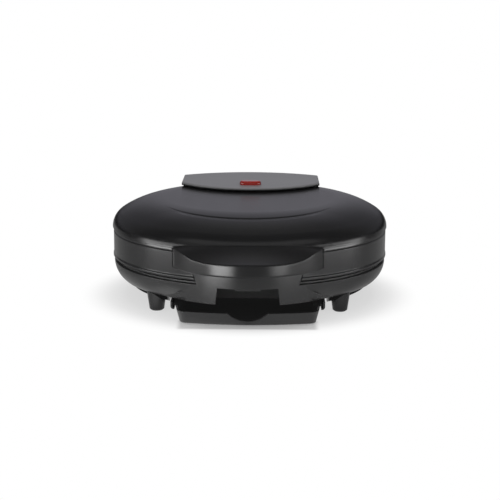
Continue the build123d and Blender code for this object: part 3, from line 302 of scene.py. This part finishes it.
def grained(name, shade, roughness, grain, depth, edge, blue=1.03, pocket=None, painted_glow=0.0):
    """Satin moulded plastic, fine spark-eroded grain; rougher and painted dark as shade in the
    pocket.
    """
    material, g = new_material(name)
    spark = g.noise(grain, 3.0, 0.65)
    pits = g.rise(g.cells(grain * 0.55), 0.0, 0.6)
    cloud = g.noise(18.0, 3.0)
    flow = g.noise(30.0, 2.0, 0.5, g.stretched(0.3, 0.3, 2.2))
    normal = g.bumped(spark * 0.7 + pits * 0.3, 0.5, depth, g.eased(edge))
    dark, light = grey(shade * 0.86, blue), grey(shade * 1.14, blue)
    colour = g.blend(cloud * 0.6 + flow * 0.4, dark, light)
    rough = roughness - 0.05 + cloud * 0.06 + spark * 0.05
    if pocket:
        # Painted shade: within the box the colour is blended to near black, as if little light got
        # in, and the surface is made rougher.
        painted_shade = inside(g, *pocket, POCKET_EDGE)
        colour = g.blend(painted_shade, colour, grey(0.005))
        rough = rough + painted_shade * 0.4
    g.principled({
        "Base Color": colour,
        "Roughness": rough,
        # Painted light: an even faint glow that lifts the blacks.
        "Emission Color": grey(painted_glow),
        "Emission Strength": 1.0,
        "IOR": PLASTIC_IOR,
        "Normal": normal,
    })
    return material


def lens_red(name, colour, glow):
    """Clear red lens over a prismed back, with a faint painted glow brighter along the prisms."""
    material, g = new_material(name)
    prisms = abs(g.maths("SINE", g.axis("X") * 2600.0))
    cloud = g.noise(220.0, 2.0)
    deep = (colour[0] * 0.55, colour[1] * 0.5, colour[2] * 0.5, 1.0)
    # Painted glow of the lens, dimmer between the prisms and brighter on them.
    dim_painted_glow = (glow, glow * 0.03, glow * 0.02, 1.0)
    full_painted_glow = (glow * 1.3, glow * 0.05, glow * 0.03, 1.0)
    g.principled({
        "Base Color": g.blend(prisms * 0.5 + cloud * 0.3, deep, (*colour, 1.0)),
        "Roughness": 0.10 + cloud * 0.05,
        "IOR": CLEAR_IOR,
        "Emission Color": g.blend(prisms, dim_painted_glow, full_painted_glow),
        "Emission Strength": 1.0,
        "Coat Weight": 1.0,
        "Coat Roughness": 0.04,
        "Normal": g.bumped(prisms, 0.08, 0.0001, g.eased(0.0004)),
    })
    return material


def lamp_glass(name):
    """Small neon lamp: warm glass over its electrodes."""
    material, g = new_material(name)
    band = g.rise(g.axis("Z"), 0.074, 0.082)
    g.principled({
        "Base Color": g.blend(band, (0.35, 0.33, 0.3, 1.0), (0.85, 0.42, 0.2, 1.0)),
        "Roughness": 0.08 + g.noise(300.0) * 0.06,
        "IOR": CLEAR_IOR,
        "Coat Weight": 0.6,
    })
    return material


def coated_plate(name, shade):
    """Dark non-stick coating: sprayed speckle over a fine cast texture."""
    material, g = new_material(name)
    speck = g.rise(g.cells(1500.0), 0.05, 0.28)
    spray = g.noise(900.0, 3.0, 0.6)
    cloud = g.noise(25.0, 3.0)
    fleck = (shade * 2.4, shade * 2.4, shade * 2.45, 1.0)
    g.principled({
        "Base Color": g.blend(speck * (0.7 + cloud * 0.3), fleck, grey(shade)),
        "Roughness": 0.32 + spray * 0.14 + cloud * 0.05,
        "Metallic": 0.1 + spray * 0.1,
        "Normal": g.bumped(spray, 0.35, 0.00006, g.eased(0.0006)),
    })
    return material


def drawn_metal(name, colour, roughness, tint):
    """Drawn or rolled metal: fine lines along it, with heat or handling stains."""
    material, g = new_material(name)
    lines = g.noise(900.0, 2.0, 0.5, g.stretched(0.05, 1.0, 1.0))
    stain = g.rise(g.noise(35.0, 4.0, 0.6), 0.35, 0.75)
    warm = tuple(c * t for c, t in zip(colour, tint))
    g.principled({
        "Base Color": g.blend(stain * 0.7, (*colour, 1.0), (*warm, 1.0)),
        "Metallic": 1.0,
        "Roughness": roughness + lines * 0.12 + stain * 0.08,
        "Normal": g.bumped(lines, 0.2, 0.00004, g.eased(0.0003)),
    })
    return material


def rubber(name, shade):
    """Soft dull rubber with a faint bloom."""
    material, g = new_material(name)
    bloom = g.noise(120.0, 3.0)
    g.principled({
        "Base Color": g.blend(bloom, grey(shade), grey(shade * 1.7)),
        "Roughness": 0.62 + bloom * 0.2,
        "Normal": g.bumped(g.noise(1800.0), 0.3, 0.00005, g.eased(0.0005)),
    })
    return material


def dress(material, slot, *names):
    """Give CAD nodes their finish."""
    material["slot"] = slot
    for name in names:
        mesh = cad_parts[name].data
        mesh.materials.clear()
        mesh.materials.append(material)


# Settings

class GrillFinish(bpy.types.PropertyGroup):
    """Colours and gloss of the grill's plastics and metals."""

    lid_shade: bpy.props.FloatProperty(
        name="Lid shade", description="Lightness of the polished lid",
        default=0.012, min=0.0, max=1.0)
    lid_gloss: bpy.props.FloatProperty(
        name="Lid roughness", description="Roughness of the polished lid",
        default=0.17, min=0.0, max=1.0, subtype="FACTOR")
    band_shade: bpy.props.FloatProperty(
        name="Band shade", description="Lightness of the satin band",
        default=0.020, min=0.0, max=1.0)
    band_roughness: bpy.props.FloatProperty(
        name="Band roughness", description="Roughness of the satin band",
        default=0.17, min=0.0, max=1.0, subtype="FACTOR")
    cover_shade: bpy.props.FloatProperty(
        name="Cover shade", description="Lightness of the rear cover",
        default=0.19, min=0.0, max=1.0)
    cover_roughness: bpy.props.FloatProperty(
        name="Cover roughness", description="Roughness of the rear cover",
        default=0.36, min=0.0, max=1.0, subtype="FACTOR")
    base_shade: bpy.props.FloatProperty(
        name="Base shade", description="Lightness of the moulded base",
        default=0.018, min=0.0, max=1.0)
    base_roughness: bpy.props.FloatProperty(
        name="Base roughness", description="Roughness of the moulded base",
        default=0.22, min=0.0, max=1.0, subtype="FACTOR")
    tray_shade: bpy.props.FloatProperty(
        name="Tray shade", description="Lightness of the drip tray",
        default=0.020, min=0.0, max=1.0)
    lens_colour: bpy.props.FloatVectorProperty(
        name="Lens colour", description="Colour of the clear indicator lens",
        default=(0.36, 0.019, 0.012), min=0.0, max=1.0, subtype="COLOR")
    lid_edge: bpy.props.FloatProperty(
        name="Lid edge softness", description="How far the lid's sharp edges look rounded",
        default=0.0022, min=0.0, unit="LENGTH")
    edge: bpy.props.FloatProperty(
        name="Edge softness", description="How far sharp edges look rounded",
        default=0.0007, min=0.0, unit="LENGTH")


class GrillStage(bpy.types.PropertyGroup):
    """Camera and light."""

    distance: bpy.props.FloatProperty(
        name="Camera distance", description="Camera to the middle of the grill",
        default=1.2, min=0.3, unit="LENGTH")
    elevation: bpy.props.FloatProperty(
        name="Camera elevation", description="Camera's angle above the table",
        default=math.radians(12.16), unit="ROTATION")
    azimuth: bpy.props.FloatProperty(
        name="Camera azimuth", description="Camera's angle to the right of the front",
        default=math.radians(0.7), unit="ROTATION")
    roll: bpy.props.FloatProperty(
        name="Camera roll", description="Camera's tilt to one side",
        default=math.radians(0.2), unit="ROTATION")
    lens: bpy.props.FloatProperty(
        name="Focal length", description="Lens on a 36 mm wide sensor, in millimetres",
        default=94.96, min=10.0)
    shift: bpy.props.FloatProperty(
        name="Shift", description="Sideways shift of the picture, as a share of its width",
        default=0.0008)
    ambient: bpy.props.FloatProperty(
        name="Ambient", description="Soft light from all round", default=0.42, min=0.0)
    top_power: bpy.props.FloatProperty(
        name="Top lamp", description="Power of the large soft lamp overhead",
        default=8.0, min=0.0, unit="POWER")
    front_power: bpy.props.FloatProperty(
        name="Front lamp", description="Power of the low lamp that lights the hollows",
        default=5.0, min=0.0, unit="POWER")


# Finishing steps

class FinishLid(bpy.types.Operator):
    """Polish the domed lid and its handle, and grain its band."""

    bl_idname = "grill.finish_lid"
    bl_label = "Finish lid"
    bl_options = {"REGISTER", "UNDO"}

    def execute(self, context):
        finish = context.scene.grill_finish
        lid = polished("polished_black", finish.lid_shade, finish.lid_gloss, finish.lid_edge,
                       domed=True)
        dress(lid, "gloss_black", "lid_top")
        band = grained("satin_band", finish.band_shade, finish.band_roughness,
                       grain=2600.0, depth=0.00007, edge=finish.edge)
        dress(band, "satin_band", "lid_band")
        panel = grained("handle_panel", finish.base_shade, roughness=0.46,
                        grain=2400.0, depth=0.00008, edge=finish.edge)
        dress(panel, "housing_plastic", "handle_underside")
        return {"FINISHED"}


class FinishCover(bpy.types.Operator):
    """Give the rear cover its lighter satin finish, with painted shade darkening the wall below its
    rim.
    """

    bl_idname = "grill.finish_cover"
    bl_label = "Finish rear cover"
    bl_options = {"REGISTER", "UNDO"}

    def execute(self, context):
        finish = context.scene.grill_finish
        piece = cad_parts["hinge_cover"]
        top = max((piece.matrix_world @ Vector(corner)).z for corner in piece.bound_box)
        # Painted shade: below its rim the cover's wall is blended to near black.
        wall = ((-1.0, -1.0, -1.0), (1.0, 1.0, top - COVER_RIM))
        cover = grained("satin_cover", finish.cover_shade, finish.cover_roughness,
                        grain=3000.0, depth=0.00004, edge=finish.edge, pocket=wall)
        dress(cover, "satin_cover", "hinge_cover")
        return {"FINISHED"}


class FinishIndicator(bpy.types.Operator):
    """Finish the red lens and the lamp under it."""

    bl_idname = "grill.finish_indicator"
    bl_label = "Finish indicator"
    bl_options = {"REGISTER", "UNDO"}

    def execute(self, context):
        finish = context.scene.grill_finish
        lens = lens_red("clear_red", tuple(finish.lens_colour), LENS_PAINTED_GLOW)
        dress(lens, "red_lens", "indicator_lens")
        dress(lamp_glass("lamp_glass"), "lamp_glass", "indicator_lamp")
        return {"FINISHED"}


class FinishBase(bpy.types.Operator):
    """Grain the base housing, its feet, runners and cord bush, and the lid's arms."""

    bl_idname = "grill.finish_base"
    bl_label = "Finish base"
    bl_options = {"REGISTER", "UNDO"}

    def execute(self, context):
        finish = context.scene.grill_finish
        # Painted shade: the base is darkened inside the drip pocket; a faint painted glow lifts its
        # blacks.
        base = grained("base_plastic", finish.base_shade, finish.base_roughness,
                       grain=2400.0, depth=0.00007, edge=finish.edge,
                       pocket=DRIP_POCKET, painted_glow=PAINTED_GLOW)
        dress(base, "housing_plastic", "base_housing", "hinge_arm_left", "hinge_arm_right")
        feet = grained("foot_plastic", shade=0.016, roughness=0.24,
                       grain=1600.0, depth=0.00004, edge=finish.edge)
        dress(feet, "foot_plastic", "feet")
        runners = polished("runner_plastic", shade=0.018, gloss=0.34, edge=finish.edge)
        dress(runners, "runner_plastic", "tray_runner_left", "tray_runner_right")
        dress(rubber("cord_bush", shade=0.012), "gland_rubber", "cord_gland")
        return {"FINISHED"}


class FinishTray(bpy.types.Operator):
    """Finish the drip tray."""

    bl_idname = "grill.finish_tray"
    bl_label = "Finish drip tray"
    bl_options = {"REGISTER", "UNDO"}

    def execute(self, context):
        finish = context.scene.grill_finish
        # Painted light: a faint glow lifts the tray's blacks.
        tray = grained("tray_plastic", finish.tray_shade, roughness=0.40,
                       grain=2000.0, depth=0.00006, edge=finish.edge, painted_glow=PAINTED_GLOW)
        dress(tray, "tray_plastic", "drip_tray")
        return {"FINISHED"}


class FinishPlates(bpy.types.Operator):
    """Coat the two ribbed cooking plates."""

    bl_idname = "grill.finish_plates"
    bl_label = "Finish cooking plates"
    bl_options = {"REGISTER", "UNDO"}

    def execute(self, context):
        coating = coated_plate("plate_coating", shade=0.035)
        dress(coating, "coated_aluminium", "lower_cooking_plate", "upper_cooking_plate")
        return {"FINISHED"}


class FinishHeaters(bpy.types.Operator):
    """Finish the heating elements, heat shields and electrical parts."""

    bl_idname = "grill.finish_heaters"
    bl_label = "Finish heaters"
    bl_options = {"REGISTER", "UNDO"}

    def execute(self, context):
        tube = drawn_metal("heater_tube", colour=(0.36, 0.34, 0.32), roughness=0.34,
                           tint=(0.75, 0.6, 0.5))
        dress(tube, "sheath_steel", "lower_heating_element", "upper_heating_element",
              "thermal_fuse")
        sheet = drawn_metal("shield_sheet", colour=(0.74, 0.74, 0.75), roughness=0.28,
                            tint=(0.9, 0.88, 0.84))
        dress(sheet, "sheet_metal", "lower_heat_shield", "upper_heat_shield")
        body = grained("thermostat_body", shade=0.08, roughness=0.36,
                       grain=1500.0, depth=0.00004, edge=0.0003, blue=0.7)
        dress(body, "thermostat_body", "thermostat")
        block = grained("terminal_plastic", shade=0.62, roughness=0.42,
                        grain=1500.0, depth=0.00004, edge=0.0004, blue=0.9)
        dress(block, "terminal_plastic", "terminal_block")
        return {"FINISHED"}


class FinishHardware(bpy.types.Operator):
    """Plate the screws, the hinge pin and its ring."""

    bl_idname = "grill.finish_hardware"
    bl_label = "Finish hardware"
    bl_options = {"REGISTER", "UNDO"}

    def execute(self, context):
        steel = drawn_metal("plated_steel", colour=(0.52, 0.52, 0.53), roughness=0.30,
                            tint=(0.85, 0.83, 0.78))
        dress(steel, "screw_steel", "lower_plate_screws", "upper_plate_screws", "handle_screws",
              "upper_shield_screws", "hinge_arm_screws", "hinge_pin", "hinge_pin_clip")
        return {"FINISHED"}


# Stage

def side_glow(g, angle):
    """The light low at both sides ahead of the grill."""
    left = sector(g, angle, -94.0, -40.0, 5.0) * 11.0
    right = sector(g, angle, 48.0, 102.0, 5.0) * 7.5
    return left + right


def mirrored_table(g, x, y):
    """How bright the gloss sees the table, by angle and distance from the handle's foot."""
    angle = bearing(g, x, -HANDLE_FOOT - y)
    wide = abs(angle)
    out = (x * x + (y + HANDLE_FOOT) ** 2.0) ** 0.5
    near = g.rise(out, 0.24, 0.14) * 0.22
    aside = g.rise(wide, 8.0, 55.0) * 0.22
    behind = g.rise(wide, 98.0, 118.0) * 0.20
    flank = sector(g, wide, 58.0, 96.0, 6.0) * g.rise(out, 0.16, 0.22) * 0.10
    left = sector(g, angle, -53.0, -24.0, 8.0) * 9.5 * g.rise(out, 0.17, 0.22)
    right = sector(g, angle, 35.0, 57.0, 9.0) * 3.8 * g.rise(out, 0.20, 0.25)
    right_dip = g.rise(x, 0.03, 0.10) * g.rise(out, 0.22, 0.17) * 0.15
    close = sector(g, wide, 94.0, 116.0, 6.0) * g.rise(out, 0.13, 0.09)
    level = 0.28 + near + aside - behind + flank + left + right - right_dip
    level = level + close * (0.10 + g.rise(x, 0.0, -0.02) * 0.45)
    level = level + side_glow(g, angle) * g.rise(out, 0.42, 0.54)
    return level * (1.0 - g.rise(y, 0.5, 1.1) * g.rise(abs(x), 0.1, 0.5) * 0.9)


def floor_material():
    """Pale table that keeps the shadow near the grill and runs out into white."""
    material, g = new_material("pale_table")
    x = g.axis("X")
    y = g.axis("Y")
    reach = (x * x + y * y) ** 0.5
    contact = inside(g, *TRAY_CONTACT, CONTACT_EDGE)
    white_share = (0.60 + g.rise(reach, 0.120, 0.155) * 0.40) * (1.0 - contact * 0.75)
    lit = g.add("ShaderNodeBsdfDiffuse", {}, {"Color": grey(TABLE_SHADE)})
    plain = g.mixed(white_share * g.ray("Camera"), lit, g.emission(grey(1.0), 1.0))
    mirrored = g.emission(grey(1.0), mirrored_table(g, x, y))
    g.finish(g.mixed(g.ray("Glossy"), plain, mirrored))
    return material


def tent_material():
    """Studio shell as the gloss sees it: soft at the rear, faint ahead, low glow at the sides."""
    material, g = new_material("studio_shell")
    x = g.axis("X") / SHELL_RADIUS
    y = g.axis("Y") / SHELL_RADIUS
    z = g.axis("Z") / SHELL_RADIUS
    level = g.add("ShaderNodeValToRGB", {"stops": REAR_GLOW}, {"Fac": y * 0.5 + 0.5})
    aside = 1.0 - g.rise(abs(x), 0.05, 0.45) * 0.6
    low = 1.0 - g.rise(abs(x), 0.08, 0.35) * g.rise(z, 0.17, 0.02)
    rear = level * aside * low
    ahead = g.rise(y, -0.25, -0.50) * sector(g, z, 0.40, 0.70, 0.08) * 0.5
    sides = side_glow(g, bearing(g, x, y * -1.0)) * g.rise(z, 0.22, -0.08) ** 2.0
    cool = g.blend(g.rise(y, 0.3, 0.7), grey(1.0), (1.0, 0.98, 1.1, 1.0))
    g.finish(g.emission(cool, rear + ahead + sides))
    return material


def white_world(ambient):
    """Plain ambient light, and white wherever the world is seen."""
    world = bpy.data.worlds.new("studio")
    world.use_nodes = True
    g = Graph(world.node_tree)
    seen = g.maths("MINIMUM", g.ray("Camera") + g.ray("Glossy") + g.ray("Transmission"), 1.0)
    both = g.mixed(seen, g.background(grey(1.0), ambient), g.background(grey(1.0), 1.0))
    g.add("ShaderNodeOutputWorld", {}, {"Surface": both})
    bpy.context.scene.world = world


def card(name, corners, material):
    """A flat four-cornered piece of the stage."""
    mesh = bpy.data.meshes.new(name)
    mesh.from_pydata([Vector(c) for c in corners], [], [(0, 1, 2, 3)])
    mesh.materials.append(material)
    piece = bpy.data.objects.new(name, mesh)
    bpy.context.scene.collection.objects.link(piece)


def glossy_only(piece):
    """Let a piece of the stage show in reflections alone."""
    piece.visible_camera = False
    piece.visible_diffuse = False
    piece.visible_transmission = False
    piece.visible_volume_scatter = False
    piece.visible_shadow = False


def soft_lamp(name, at, aim, size, power):
    """A rectangular soft lamp that neither the camera nor the gloss sees."""
    light = bpy.data.lights.new(name, "AREA")
    light.shape = "RECTANGLE"
    light.size, light.size_y = size
    light.energy = power
    lamp = bpy.data.objects.new(name, light)
    lamp.location = at
    lamp.rotation_euler = (Vector(at) - Vector(aim)).to_track_quat("Z", "Y").to_euler()
    lamp.visible_camera = False
    lamp.visible_glossy = False
    bpy.context.scene.collection.objects.link(lamp)


class SetStage(bpy.types.Operator):
    """Set the table, the light and the camera."""

    bl_idname = "grill.set_stage"
    bl_label = "Set stage"
    bl_options = {"REGISTER", "UNDO"}

    def execute(self, context):
        stage = context.scene.grill_stage
        card("table", TABLE, floor_material())
        bpy.ops.mesh.primitive_uv_sphere_add(
            segments=SHELL_SEGMENTS, ring_count=SHELL_RINGS, radius=SHELL_RADIUS,
            location=(0, 0, 0))
        shell = context.object
        shell.name = "studio_shell"
        shell.data.materials.append(tent_material())
        glossy_only(shell)
        white_world(stage.ambient)
        for name, at, aim, size, power, share in LAMPS:
            soft_lamp(name, at, aim, size, getattr(stage, power) * share)
        low, high = (Vector(c) for c in CAD_BOX)
        target = Vector(((low.x + high.x) / 2, AXIS_Y, AIM_HEIGHT))
        back = Vector((
            math.sin(stage.azimuth) * math.cos(stage.elevation),
            -math.cos(stage.azimuth) * math.cos(stage.elevation),
            math.sin(stage.elevation)))
        turn = back.to_track_quat("Z", "Y").to_matrix() @ Matrix.Rotation(stage.roll, 3, "Z")
        camera = bpy.data.objects.new("camera", bpy.data.cameras.new("camera"))
        camera.data.lens = stage.lens
        camera.data.sensor_width = SENSOR_WIDTH
        camera.data.shift_x = stage.shift
        camera.matrix_world = Matrix.Translation(target + back * stage.distance) @ turn.to_4x4()
        context.scene.collection.objects.link(camera)
        context.scene.camera = camera
        context.scene.view_settings.view_transform = "Standard"
        return {"FINISHED"}


STEPS = (FinishLid, FinishCover, FinishIndicator, FinishBase, FinishTray, FinishPlates,
         FinishHeaters, FinishHardware, SetStage)


class GrillPanel(bpy.types.Panel):
    """Lists the steps and their settings."""

    bl_idname = "VIEW3D_PT_grill"
    bl_label = "Contact grill"
    bl_space_type = "VIEW_3D"
    bl_region_type = "UI"
    bl_category = "Grill"

    def draw(self, context):
        for step in STEPS:
            self.layout.operator(step.bl_idname)
        for group in (context.scene.grill_finish, context.scene.grill_stage):
            box = self.layout.box()
            for name in group.__annotations__:
                box.prop(group, name)


CLASSES = (GrillFinish, GrillStage, *STEPS, GrillPanel)


def register():
    """Add the settings, the steps and the panel."""
    for item in CLASSES:
        bpy.utils.register_class(item)
    bpy.types.Scene.grill_finish = bpy.props.PointerProperty(type=GrillFinish)
    bpy.types.Scene.grill_stage = bpy.props.PointerProperty(type=GrillStage)


def unregister():
    """Take them away again."""
    del bpy.types.Scene.grill_stage
    del bpy.types.Scene.grill_finish
    for item in reversed(CLASSES):
        bpy.utils.unregister_class(item)


def main():
    """Run every step."""
    register()
    for step in STEPS:
        group, name = step.bl_idname.split(".")
        getattr(getattr(bpy.ops, group), name)()


if __name__ == "__main__":
    main()
